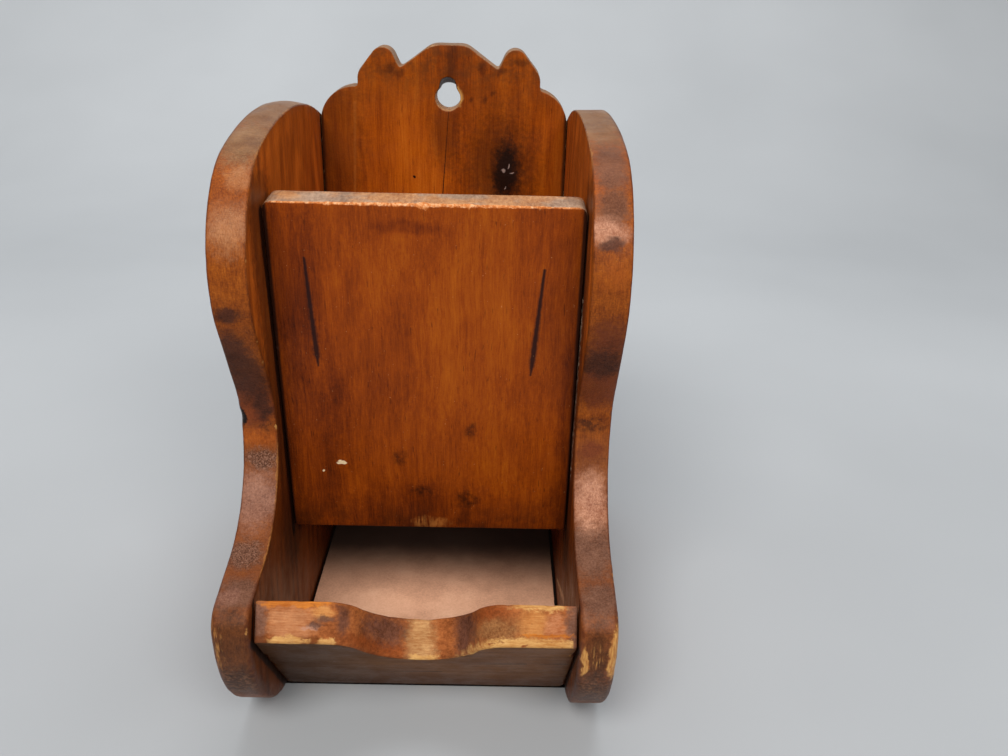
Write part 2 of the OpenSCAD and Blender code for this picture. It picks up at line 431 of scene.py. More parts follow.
def make_board(name, node, normal, ease, slot, spots=(), crowns=(), chipping=1.6, seed=0.0, reshape=None):
    """A worn board over a node, more worn at some spots, and with its edge raised at some crowns.

    A reshape moves the points of the rear outlines.
    """
    board = Board()
    pairs = []
    for front, rear in zip(outlines(node, normal), outlines(node, -normal)):
        near, far = matched_outlines(front, rear)
        far = [reshape(p) for p in far] if reshape else far
        pairs.append(board.edge_band(
            softened(near), softened(far), normal, ease * MM, chipping, spots, crowns, seed))
    for way, rings in zip((normal, -normal), zip(*pairs)):
        board.fill(rings, way, nail_dents(node, way))
    board.finish(name, node, slot)


# Materials

# Planes that strokes lie in, as the axes that count
SIDE_PLANE = (0, 1, 1)
FACE_PLANE = (1, 0, 1)


def tint(red, green, blue):
    """A colour given by its screen values, as the linear colour that a shader takes."""
    shares = [c / 255 for c in (red, green, blue)]
    return (*(s / 12.92 if s <= 0.04045 else ((s + 0.055) / 1.055) ** 2.4 for s in shares), 1)


class Shade:
    """A procedural material, built by short calls that return sockets.

    Its lengths are in mm, and its colours are screen values of red, green and blue.
    """

    def __init__(self, name, specular):
        self.material = bpy.data.materials.new(name)
        self.material.use_nodes = True
        self.tree = self.material.node_tree
        self.shader = self.tree.nodes["Principled BSDF"]
        self.shader.inputs["Specular IOR Level"].default_value = specular
        here = self.node("ShaderNodeTexCoord").outputs["Object"]
        self.place = self.vector("MULTIPLY", here, (1 / MM,) * 3)
        self.ragged = self.wavering(self.wavering(self.place, 9, 5), 2.5, 1.6)
        self.fray = self.swing(self.noise(2.4, 5, 0.75, 50), 1.3)

    def node(self, kind, inputs=(), **settings):
        """A new node, with its settings and with its inputs by name or number."""
        node = self.tree.nodes.new(kind)
        for name, value in settings.items():
            setattr(node, name, value)
        for name, value in dict(inputs).items():
            self.put(node.inputs[name], value)
        return node

    def put(self, socket, value):
        """Links an input to another socket, or sets it to a value or a colour."""
        if isinstance(value, bpy.types.NodeSocket):
            self.tree.links.new(value, socket)
        else:
            socket.default_value = tint(*value) if socket.type == "RGBA" else value

    def math(self, operation, *values):
        return self.node("ShaderNodeMath", enumerate(values), operation=operation).outputs[0]

    def joined(self, operation, values):
        return reduce(lambda a, b: self.math(operation, a, b), values)

    def total(self, *values):
        return self.joined("ADD", values)

    def times(self, *values):
        return self.joined("MULTIPLY", values)

    def linear(self, value, slope, start):
        return self.math("MULTIPLY_ADD", value, slope, start)

    def vector(self, operation, *values):
        node = self.node("ShaderNodeVectorMath", enumerate(values), operation=operation)
        return node.outputs["Value" if operation in ("LENGTH", "DOT_PRODUCT") else "Vector"]

    def scaled(self, vector, factor):
        """A vector or a colour multiplied by a number."""
        return self.vector("SCALE", vector, (0, 0, 0), (0, 0, 0), factor)

    def span(self, place, scale, start):
        """Length of a place that is scaled along its axes and then shifted."""
        return self.vector("LENGTH", self.vector("MULTIPLY_ADD", place, scale, start))

    def wear(self, label, *limits):
        """One of the values that a board's mesh carries, arris, chip, band or across, or its ramp."""
        value = self.node("ShaderNodeAttribute", attribute_name=label).outputs["Fac"]
        return self.ramp(value, *limits) if limits else value

    def noise(self, size, detail=2, roughness=0.5, shift=0.0, place=None, output=0):
        """Noise about 0.5 with grains of a size, one length or one along each axis."""
        sizes = size if isinstance(size, tuple) else (size,) * 3
        scale = tuple(1 / s for s in sizes)
        where = self.vector("MULTIPLY_ADD", place or self.place, scale, (shift,) * 3)
        inputs = {"Vector": where, "Scale": 1, "Detail": detail, "Roughness": roughness}
        return self.node("ShaderNodeTexNoise", inputs).outputs[output]

    def wavering(self, place, size, reach):
        """A place shifted to and fro by up to half a reach."""
        centred = self.vector("SUBTRACT", self.noise(size, place=place, output=1), (0.5, 0.5, 0.5))
        return self.vector("ADD", place, self.vector("MULTIPLY", centred, (reach,) * 3))

    def ramp(self, value, low, high):
        """0 at low and 1 at high, smooth between; a low above the high turns it round."""
        inputs = {"Value": value, "From Min": low, "From Max": high}
        return self.node("ShaderNodeMapRange", inputs, interpolation_type="SMOOTHSTEP").outputs[0]

    def blots(self, low, high, *grain):
        """Ramp of a noise: 0 below low and 1 above high."""
        return self.ramp(self.noise(*grain), low, high)

    def swing(self, value, weight):
        """A value about 0.5, as a weighted step up or down."""
        return self.linear(value, weight, -0.5 * weight)

    def tones(self, value, *stops):
        """Colours along a value, from stops in rising order, each a position and its colour."""
        node = self.node("ShaderNodeValToRGB", {"Fac": value})
        elements = node.color_ramp.elements
        for end in (-1, 0):
            elements[end].position = stops[end][0]
            elements[end].color = tint(*stops[end][1:])
        for position, *color in stops[1:-1]:
            elements.new(position).color = tint(*color)
        return node.outputs["Color"]

    def mottled(self, dark, light, grain=0.9, shift=61):
        """A colour that wavers between two tones in fine grains."""
        coarse = self.times(self.noise(12, 4, 0.65, shift + 7), 0.4)
        tone = self.linear(self.noise(grain, 5, 0.8, shift), 0.6, coarse)
        return self.tones(tone, (0.38, *dark), (0.62, *light))

    def coats(self, color, *layers):
        """A colour under further ones, each followed by the shares that multiply to its cover."""
        for over, *shares in layers:
            inputs = {0: self.times(*shares), 6: color, 7: over}
            color = self.node("ShaderNodeMix", inputs, data_type="RGBA").outputs[2]
        return color

    def spots(self, soft, marks, place=None):
        """1 inside some marks, each a centre and its radii, falling to 0 across their soft rims."""
        distances = []
        for mark in marks:
            scale = tuple(1 / r for r in mark[3:])
            start = tuple(-c / r for c, r in zip(mark, mark[3:]))
            distances.append(self.span(place or self.ragged, scale, start))
        frayed = self.math("ADD", self.joined("MINIMUM", distances), self.fray)
        return self.ramp(frayed, 1 + 0.4 * soft, 1 - 0.6 * soft)

    def stroke(self, start, end, width, plane=FACE_PLANE, taper=0.4, tail=1.0):
        """1 along a stroke, with a taper's share of its width at its start and a tail's at its end."""
        way = Vector(end) - Vector(start)
        offset = self.vector("MULTIPLY_ADD", self.place, plane, tuple(-Vector(start)))
        along = self.vector("DOT_PRODUCT", offset, way / way.length_squared)
        share = self.node("ShaderNodeClamp", {0: along}).outputs[0]
        distance = self.vector("LENGTH", self.vector("SUBTRACT", offset, self.scaled(tuple(way), share)))
        reach = self.linear(share, (1 - taper) * width, taper * width)
        reach = self.times(reach, self.linear(self.ramp(share, 0.85, 1), tail - 1, 1))
        frayed = self.linear(self.fray, 0.9, self.math("DIVIDE", distance, reach))
        return self.ramp(frayed, 1.15, 0.55)

    def axes(self, place=None):
        """The three parts of a place."""
        return self.node("ShaderNodeSeparateXYZ", {0: place or self.place}).outputs

    def finish(self, color, roughness, height=None):
        """Links a colour, a roughness and a height in mm to the shader."""
        self.put(self.shader.inputs["Base Color"], color)
        self.put(self.shader.inputs["Roughness"], roughness)
        if height is not None:
            bump = self.node("ShaderNodeBump", {"Height": height, "Distance": MM})
            self.put(self.shader.inputs["Normal"], bump.outputs["Normal"])
        return self.material


class Pine(Shade):
    """Stained pine with its grain along one axis."""

    def __init__(self, name, along, specular):
        super().__init__(name, specular)
        self.along = along
        self.drift = self.wavering(self.place, 55, 5)

    def strands(self, width, length, detail=2, roughness=0.5, shift=0.0):
        """Noise drawn out along the grain."""
        size = tuple(length if axis == self.along else width for axis in "xyz")
        return self.noise(size, detail, roughness, shift, self.drift)

    def grain(self, pith, slope, period, shift=0.0, ring_weight=0.16, streak_weight=0.42, fibre_weight=0.55):
        """Tone about 0.5 of blotches, fibres, and rings round a pith that leaves the board at a slope."""
        squash = tuple(slope if axis == self.along else 1 for axis in "xyz")
        distance = self.span(self.drift, squash, tuple(-c * s for c, s in zip(pith, squash)))
        waver = self.swing(self.strands(14, 120, shift=shift), 5.0)
        phase = self.times(self.total(distance, waver), 2 * math.pi / period)
        growth = self.math("POWER", self.linear(self.math("SINE", phase), 0.49, 0.51), 0.6)
        strength = self.blots(0.35, 0.7, 22, 2, 0.5, shift + 1)
        rings = self.times(self.swing(growth, ring_weight), strength)
        blotches = self.swing(self.strands(24, 70, 4, 0.6, shift), 0.6)
        streaks = self.swing(self.strands(2.2, 90, 3, 0.65, shift + 3), streak_weight)
        fibres = self.swing(self.strands(0.55, 13, 3, 0.7, shift + 5), fibre_weight)
        flecks = self.swing(self.noise(0.6, 3, 0.7, shift + 6), 0.25)
        return self.total(0.5, blotches, rings, streaks, fibres, flecks)

    def dashes(self, amount, shift=0.0):
        """Short dark resin lines along the grain, more of them with a larger amount."""
        return self.ramp(self.strands(0.8, 9, 1, 0.5, shift + 11), 0.74 - amount, 0.8 - amount)

    def specks(self, size, amount, shift=0.0):
        """Round specks, more of them with a larger amount."""
        return self.blots(0.76 - amount, 0.8 - amount, size, 1, 0.5, shift + 17)

    def worn(self, low, high, size=3.5, shift=0.0):
        """1 where an arris has lost its stain."""
        ragged = self.swing(self.noise(size, 4, 0.65, shift + 23), 1.1)
        return self.ramp(self.total(self.wear("arris"), self.wear("chip"), ragged), low, high)

    def varnished(self, color, worn, pits, shift, dull=0.0, width=0.6):
        """Finishes a board with varnish in dull patches, rougher where it is worn, over fibres and pits."""
        fibres = self.strands(width, 14, 3, 0.6, shift)
        patches = self.blots(0.3, 0.75, 14, 4, 0.65, 31)
        roughness = self.linear(worn, 0.3, self.linear(patches, 0.22, 0.3 + dull))
        return self.finish(color, roughness, self.total(self.times(fibres, 0.07), self.times(pits, 0.15)))


# Colours that the boards share
BARE = (206, 152, 84)
BARE_DARK = (158, 92, 42)
# Near black for soot, chips and nail holes, also used as painted shade in the gaps between parts and under
# the box
SOOT_AND_SHADE = (24, 13, 9)
UMBER = (52, 27, 17)

# Wear marks on the sides, where handling, spills and knocks have left their trace, some scuffs also with
# painted highlights: x, y, z and radii in mm
CREST_DUST = [(-70, 25, 246, 16, 60, 14), (-70, -25, 241, 13, 24, 13), (70, 20, 247, 16, 55, 14)]
CREST_BROWN = [(71.5, -38, 234, 7, 18, 15), (71.5, -53, 223, 7, 11, 10)]
GOLD_SCUFFS_AND_HIGHLIGHTS = [(-69, -48, 230, 5, 6, 6), (-71, -60, 213, 9, 8, 12)]
LEFT_SCUFFS_AND_HIGHLIGHTS = [(-72, -54, 94, 10, 15, 13), (-74, -100, 76, 5, 6, 5)]
RIGHT_SCUFFS_AND_HIGHLIGHTS = [(71, -54, 96, 7.5, 13, 13), (70, -60, 215, 8, 8, 5)]
TOE_GREY = [(70, -72, 84, 11, 18, 12), (72, -98, 76, 11, 10, 10), (-70, -97, 77, 9, 9, 6)]
GREY_SCUFFS = [(-70.5, -44, 109.5, 8, 6, 4.5), (-72, -76, 81, 8, 8, 6)]
REDDISH = [
    (-72, -45, 134, 9, 9, 13), (71, -42, 115, 6, 6, 4), (72, -49, 148, 12, 10, 17),
    (73, -56, 174, 10, 12, 13)]
DARK_PATCHES = [
    (-75.5, -57, 162, 7.5, 14, 12), (-73, -53, 154.5, 9, 12, 9), (-72.5, -50, 147, 9.5, 13, 14),
    (-69, -44, 135, 4, 6, 8), (-74, -64, 181, 6, 8, 4), (71, -55, 160.5, 9.5, 10, 9),
    (71, -62, 211, 4.8, 6, 2.6)]
ORANGE = [(-71, -42, 118.5, 9, 6, 5), (72, -58, 199, 9, 9, 7), (67, -52, 230, 4, 20, 12)]
SCRATCHES = [(70, -42, 127, 6, 6, 4), (-68, -44, 128, 4, 6, 8)]
BLACK_CHIPS = [(-78.4, -42.4, 127.5, 2.6, 4, 4.5)]
FOOT_GRIME = [(-70, -108, 36, 14, 14, 15), (71, -104, 34, 14, 14, 18)]
FOOT_BROWN = [(-71, -109, 60, 10, 9, 20), (70.5, -109, 60, 6, 9, 15)]
FOOT_BARE = [(77.6, -110, 61, 2.6, 8, 13), (65.6, -110, 58, 1.3, 8, 8)]
FOOT_FLECKS = [(-77.5, -110, 61, 3, 8, 13), (70, -110, 60, 2.5, 8, 7)]
RUBBED = [
    (-63.8, 17, 245, 4, 12, 5), (-63.8, -29, 239, 4, 16, 6), (64, 27, 246, 4, 22, 5),
    (64, -25, 240, 4, 22, 6), (-63.8, -50, 104, 4, 14, 14), (-63.8, -78, 84, 4, 18, 6)]

# Seams on the inner faces of the sides, along the front, the back and the lip, darkened by grime and painted
# shade, as (start, end, width)
FRONT_SEAM = ((0, -27.2, 62), (0, -38.8, 215))
SIDE_SEAMS = [
    (*FRONT_SEAM, 3.2), ((0, 95.5, 5), (0, 95.5, 243), 2.0), ((0, -108.2, 62), (0, -63, 2), 2.0),
    ((0, -108, 62), (0, -100.5, 77), 2.0)]
# Width of a band of painted shade on the inner faces in front of the hopper front
SEAM_SHADE_WIDTH = 20
SEAM_CHALK = ((0, -34, 98), (0, -37.7, 180), 3.2)
SPLINTER = ((0, 9, 11), (0, -34, 30), 2.6)


def make_side_wood():
    """Sides: brown faces with painted light and shade on the inner ones, and edge bands with gold, dark,
    dusty and bare patches, some with painted highlights.
    """
    wood = Pine("side_wood", "z", 0.14)
    mottled, spots = wood.mottled, wood.spots
    across, depth, height = wood.axes()
    away = wood.math("ABSOLUTE", across)
    mirrored = {0: away, 1: wood.linear(across, 0.25, depth), 2: height}
    wood.drift = wood.wavering(wood.node("ShaderNodeCombineXYZ", mirrored).outputs[0], 55, 5)

    # Faces
    inner = wood.ramp(away, 70, 66)
    right_inner = wood.times(wood.ramp(across, 40, 50), inner)
    handled = wood.times(wood.blots(0.5, 0.7, 26, 5, 0.65, 37), wood.ramp(away, 72, 76))
    flaked = wood.times(wood.blots(0.53, 0.6, (3, 1.6, 2.4), 3, 0.7, 28), right_inner)
    torn = wood.times(wood.blots(0.4, 0.5, (4, 3, 1.5), 3, 0.7, 33), right_inner)
    tone = wood.grain((70, 24, -60), 0.2, 9, ring_weight=0.3, streak_weight=0.3, fibre_weight=0.35)
    face = wood.tones(
        tone, (0.15, 72, 32, 12), (0.42, 120, 57, 16), (0.62, 156, 79, 22), (0.9, 188, 106, 40))
    # Painted light and shade: the inner faces are lit up to about twice as bright near the top, standing for
    # a sheen, and shaded darker low down
    painted_inner_light = wood.linear(wood.ramp(height, 30, 215), 1.6, -0.45)
    face = wood.coats(
        wood.scaled(face, wood.linear(inner, painted_inner_light, 1)),
        (UMBER, wood.dashes(0.03), 0.5),
        (mottled((128, 68, 28), (176, 112, 58), (1, 1, 6)), handled, 0.4),
        ((62, 31, 15), wood.wear("arris"), 0.6),
        # Painted shade on the inner faces in front of the hopper front
        ((56, 29, 17), wood.stroke(*FRONT_SEAM, SEAM_SHADE_WIDTH, SIDE_PLANE, 1), inner, 0.65),
        # Seams darkened by grime and painted shade
        *((SOOT_AND_SHADE, wood.stroke(*seam, SIDE_PLANE, 1), inner, 0.95) for seam in SIDE_SEAMS),
        ((206, 186, 160), wood.stroke(*SEAM_CHALK, SIDE_PLANE, 1), flaked),
        ((188, 148, 106), wood.stroke(*SPLINTER, SIDE_PLANE), torn))

    # Edge bands
    streaks = wood.swing(wood.noise((0.6, 0.6, 6), 3, 0.65, 2, wood.drift), 0.75)
    mottle = wood.swing(wood.noise(6, 5, 0.7, 4), 0.8)
    grain = wood.noise(0.7, 5, 0.8, 6)
    thread = (0.8, 0.8, 2.4)
    peppered = wood.tones(
        wood.noise(0.7, 4, 0.8, 26), (0.38, 46, 29, 23), (0.5, 100, 65, 48), (0.64, 156, 116, 96))
    scored = wood.tones(
        wood.noise(1.4, 4, 0.75, 27), (0.36, 27, 15, 10), (0.5, 66, 40, 25), (0.64, 122, 85, 58))
    tone = wood.total(0.5, streaks, mottle, wood.swing(grain, 0.8))
    band = wood.tones(
        tone, (0.1, 78, 34, 11), (0.4, 124, 58, 13), (0.65, 154, 79, 19), (0.95, 190, 114, 42))
    band = wood.coats(
        band,
        (mottled((82, 44, 25), (138, 85, 54), thread), wood.ramp(height, 134, 104), 0.6),
        (mottled((134, 60, 16), (186, 98, 32), thread), spots(0.9, ORANGE), 0.7),
        (mottled((94, 63, 40), (160, 124, 86), 0.6), spots(0.9, CREST_DUST), 0.8),
        (mottled((82, 46, 28), (126, 80, 55)), spots(0.7, CREST_BROWN), 0.9),
        # Scuffs that also carry painted highlights, pale and pinkish, on the lobes and the waists of the
        # bands
        (mottled((134, 76, 38), (202, 144, 98), (0.5, 0.5, 5)), spots(0.9, GOLD_SCUFFS_AND_HIGHLIGHTS), 0.62),
        (mottled((80, 52, 39), (136, 100, 82), thread), spots(0.8, TOE_GREY), 0.75),
        (mottled((104, 64, 50), (170, 122, 100), thread), spots(0.8, LEFT_SCUFFS_AND_HIGHLIGHTS), 0.75),
        (mottled((138, 80, 54), (216, 158, 126), thread), spots(1, RIGHT_SCUFFS_AND_HIGHLIGHTS), 0.85),
        (peppered, spots(0.7, GREY_SCUFFS), 0.85),
        (mottled((80, 37, 21), (124, 60, 34)), spots(0.7, REDDISH), 0.75),
        (mottled((36, 18, 12), (90, 48, 32)), spots(0.8, DARK_PATCHES), 0.88),
        (mottled((36, 19, 10), (106, 60, 28), (1.1, 1.1, 3)), spots(0.8, FOOT_BROWN), 0.85),
        (scored, spots(0.9, FOOT_GRIME), 0.85),
        ((48, 25, 17), spots(1, SCRATCHES), wood.blots(0.36, 0.62, 3.2, 4, 0.6, 24), 0.75),
        (UMBER, wood.specks(1.2, 0.04), 0.3),
        (UMBER, wood.blots(0.6, 0.7, (7, 0.5, 0.5), 3, 0.7, 35), 0.4))

    # Both, with their arrises
    worn = wood.worn(1.22, 1.42)
    bare = wood.tones(wood.noise((0.8, 0.8, 7), 3, 0.6, 8), (0.3, *BARE_DARK), (0.62, *BARE))
    color = wood.coats(
        face,
        (band, wood.wear("band", 0.15, 0.6)),
        ((74, 32, 18), wood.wear("arris", 0.6, 0.95), wood.blots(0.35, 0.6, 3, 4, 0.7, 36), 0.5),
        ((180, 120, 64), wood.worn(0.72, 1.05, 1.8), spots(0.9, RUBBED), 0.6),
        (bare, worn, 0.85),
        (bare, spots(0.4, FOOT_BARE)),
        (bare, spots(0.8, FOOT_FLECKS), wood.blots(0.47, 0.64, (0.8, 7, 8), 3, 0.65, 29), 0.7),
        (SOOT_AND_SHADE, spots(0.4, BLACK_CHIPS)),
        ((34, 22, 16), wood.ramp(height, 8, 1), 0.6))
    return wood.varnished(color, worn, grain, 9)


def marks_at(depth, reach, *rows):
    """Marks at one depth with one reach, from rows of x, z and their radii."""
    return [(x, depth, z, x_radius, reach, z_radius) for x, z, x_radius, z_radius in rows]


# Marks on the back
BACK_FACE = 95.5
KNOT = marks_at(BACK_FACE, 20, (32.8, 206, 8, 17))
KNOT_SMOKE = marks_at(BACK_FACE, 20, (29.5, 207, 21, 34))
KNOT_FLECKS = marks_at(
    BACK_FACE, 9, (32, 206.8, 1.1, 0.8), (36.4, 205.9, 1.3, 0.4), (34.6, 209, 0.4, 0.9),
    (33.3, 198, 0.35, 1.2))
BACK_SMUDGES = marks_at(BACK_FACE, 30, (3.4, 260, 3, 11), (1, 226, 8, 20), (-54, 220, 14, 36))
BACK_SPECKS = marks_at(
    BACK_FACE, 9, (19.2, 257, 2.6, 2.8), (20, 243, 1.8, 2.4), (13.5, 243, 1.2, 1.6), (25, 246.4, 1.4, 1.2),
    (38.7, 260.8, 4, 2), (29.7, 256.5, 2.4, 2), (-27.3, 257.3, 3, 2), (-22.7, 254.4, 3, 2.4))
BACK_DOTS = marks_at(BACK_FACE, 9, (-15.5, 202.5, 0.8, 0.9))
HOLE_WALL = marks_at(BACK_FACE, 30, (2, 245, 9.5, 13))
HOLE_BARE = marks_at(BACK_FACE, 30, (8.8, 246, 2, 7))
CRACK = ((2.4, 0, 237), (-0.8, 0, 193), 0.36)
PALE_STREAK = ((-45.6, 0, 240), (-47.3, 0, 194), 0.8)


def make_back_wood():
    """Back: orange-brown with a burnt knot, a drying crack and a pale, rubbed crest."""
    wood = Pine("back_wood", "z", 0.1)
    spots = wood.spots
    across, _, height = wood.axes(wood.ragged)
    tone = wood.grain((-15, 160, 80), 0.05, 7, 40)
    color = wood.tones(
        tone, (0.1, 88, 35, 6), (0.38, 140, 61, 8), (0.6, 174, 83, 11), (0.9, 198, 108, 26))
    seam = wood.ramp(wood.math("ABSOLUTE", wood.axes()[0]), 61.2, 62.6)
    edged = wood.wear("band", 0.25, 0.7)
    rim = wood.mottled((104, 74, 48), (168, 132, 94), 1.4)
    worn = wood.worn(0.9, 1.2, 1.6, 40)
    bare = wood.tones(wood.noise(2.5, 3, 0.6, 8), (0.35, 122, 80, 50), (0.65, 190, 150, 112))
    # The hanging hole's wall: pale tan low down, with painted shade darkening its upper part
    hole_wall_and_painted_shade = wood.coats(wood.mottled((140, 80, 40), (214, 160, 100), 1.4), (UMBER, wood.ramp(height, 243, 249)))
    color = wood.coats(
        wood.scaled(color, wood.linear(wood.ramp(height, 222, 262), -0.2, 1)),
        ((84, 46, 20), wood.ramp(height, 232, 262), wood.blots(0.35, 0.65, 6, 5, 0.7, 45), 0.6),
        ((86, 34, 8), wood.dashes(0.02, 40), 0.55),
        ((196, 112, 44), wood.stroke(*PALE_STREAK, taper=1), 0.35),
        ((66, 24, 6), wood.ramp(wood.math("ABSOLUTE", across), 50, 63), 0.28),
        (SOOT_AND_SHADE, seam, 0.8),
        ((66, 27, 10), spots(1, BACK_SMUDGES), 0.5),
        ((50, 20, 9), spots(1, BACK_SPECKS), 0.5),
        ((62, 26, 8), spots(1, KNOT_SMOKE), 0.68),
        (SOOT_AND_SHADE, spots(0.9, KNOT), 0.95),
        ((176, 150, 140), spots(0.8, KNOT_FLECKS), 0.65),
        (SOOT_AND_SHADE, spots(0.4, BACK_DOTS)),
        ((44, 18, 8), wood.stroke(*CRACK), 0.85),
        (rim, edged, wood.ramp(height, 222, 232), 0.8),
        (bare, worn, 0.7),
        # The hole's wall, with its painted shade at the top
        (hole_wall_and_painted_shade, spots(0.1, HOLE_WALL, wood.place), edged, 0.9),
        (BARE, spots(0.5, HOLE_BARE), wood.wear("arris", 0.3, 0.6)))
    return wood.varnished(color, worn, wood.noise(1.2, 3, 0.6, 4), 49, 0.08)


# Marks on the hopper front
FRONT_STREAKS = [((-49, 0, 196), (-46.5, 0, 147.6)), ((48, 0, 193), (44, 0, 145))]
STREAK_WIDTH = 2.0
FRONT_GOLD = marks_at(-30, 30, (22, 160, 34, 50), (-12, 190, 30, 20))
FRONT_DARK = [
    (-57, -36, 190, 15, 30, 40), (-58, -30, 100, 22, 30, 70), (-58, -28, 96, 11, 30, 36),
    (0, -30, 66, 60, 30, 22), (63, -30, 110, 6, 30, 70), (-6, -37, 210, 15, 30, 3)]
FRONT_SPOTS = marks_at(
    -30, 30, (-13, 102.4, 3.4, 4), (18.5, 116.3, 3.2, 4), (17.7, 80, 5, 4.5), (-4, 84, 5, 3))
FRONT_CHIPS = marks_at(-28.5, 9, (-38.6, 99, 2.1, 1.2), (-39.6, 100.2, 0.8, 0.7), (-48, 94, 0.45, 0.45))
FRONT_RUBBED = marks_at(-26, 12, (0, 66.5, 8, 3.5))


def make_front_wood():
    """Hopper front: golden in the middle, dark at its edges, with two dark strokes and a rubbed top edge."""
    wood = Pine("front_wood", "z", 0.1)
    spots = wood.spots
    across, _, height = wood.axes()
    away = wood.math("ABSOLUTE", across)
    tone = wood.grain((30, 120, 60), 0.05, 8, 80, fibre_weight=0.5)
    gold = wood.times(spots(1, FRONT_GOLD), 0.085)
    dark = wood.times(spots(0.9, FRONT_DARK), -0.17)
    color = wood.tones(
        wood.total(tone, gold, dark, 0.03), (0.1, 64, 23, 8), (0.36, 112, 45, 9), (0.58, 144, 63, 10),
        (0.8, 168, 84, 15), (0.98, 184, 104, 36))
    streaks = []
    for start, end in FRONT_STREAKS:
        streaks += [((56, 27, 20), wood.stroke(start, end, STREAK_WIDTH, tail=0.3), 0.6),
                    ((34, 18, 17), wood.stroke(start, end, 0.6 * STREAK_WIDTH, tail=0.2), 0.85)]
    grey = wood.mottled((122, 92, 72), (188, 155, 129), (1.4, 4, 4))
    tan = wood.mottled((148, 92, 53), (207, 153, 105), (1.4, 4, 4))
    end_grain = wood.coats(grey, (tan, wood.blots(0.42, 0.6, 20, 3, 0.6, 82)))
    worn = wood.worn(0.62, 0.95, 1.6, 80)
    bare = wood.tones(
        wood.noise(1.6, 4, 0.7, 84), (0.34, 170, 88, 36), (0.5, 216, 134, 74), (0.66, 242, 190, 142))
    frontward = wood.times(wood.wear("across", 0.2, 0.05), wood.ramp(away, 62, 60))
    color = wood.coats(
        color,
        ((66, 26, 9), wood.dashes(0.04, 80), 0.55),
        ((46, 19, 9), spots(1, FRONT_SPOTS), wood.blots(0.3, 0.66, 4, 4, 0.65, 83), 0.8),
        ((44, 19, 10), wood.ramp(height, 84, 63), wood.blots(0.3, 0.7, 12, 4, 0.65, 85), 0.7),
        *streaks,
        ((186, 116, 54), spots(0.9, FRONT_RUBBED), wood.blots(0.32, 0.62, (1.1, 1.5, 7), 3, 0.6, 86), 0.6),
        ((232, 206, 166), spots(0.4, FRONT_CHIPS)),
        ((206, 150, 100), wood.specks(0.9, -0.01, 80), 0.5),
        # Grime and painted shade on the board's ends, in the gaps beside the sides
        (SOOT_AND_SHADE, wood.ramp(away, 61.8, 62.9), 0.9),
        (end_grain, wood.wear("band", 0.4, 0.8), wood.ramp(height, 210, 214)),
        (bare, worn, wood.ramp(height, 208, 215), frontward, 0.9))
    return wood.varnished(color, worn, wood.noise(1.2, 3, 0.6, 84), 89)


LIP_DEPTH = 16
LIP_CRACKS = [((18, 0, 37), (44, 0, 39)), ((50, 0, 39), (61, 0, 40)), ((-20, 0, 24), (8, 0, 25))]
LIP_CRACK_WIDTH = 0.7


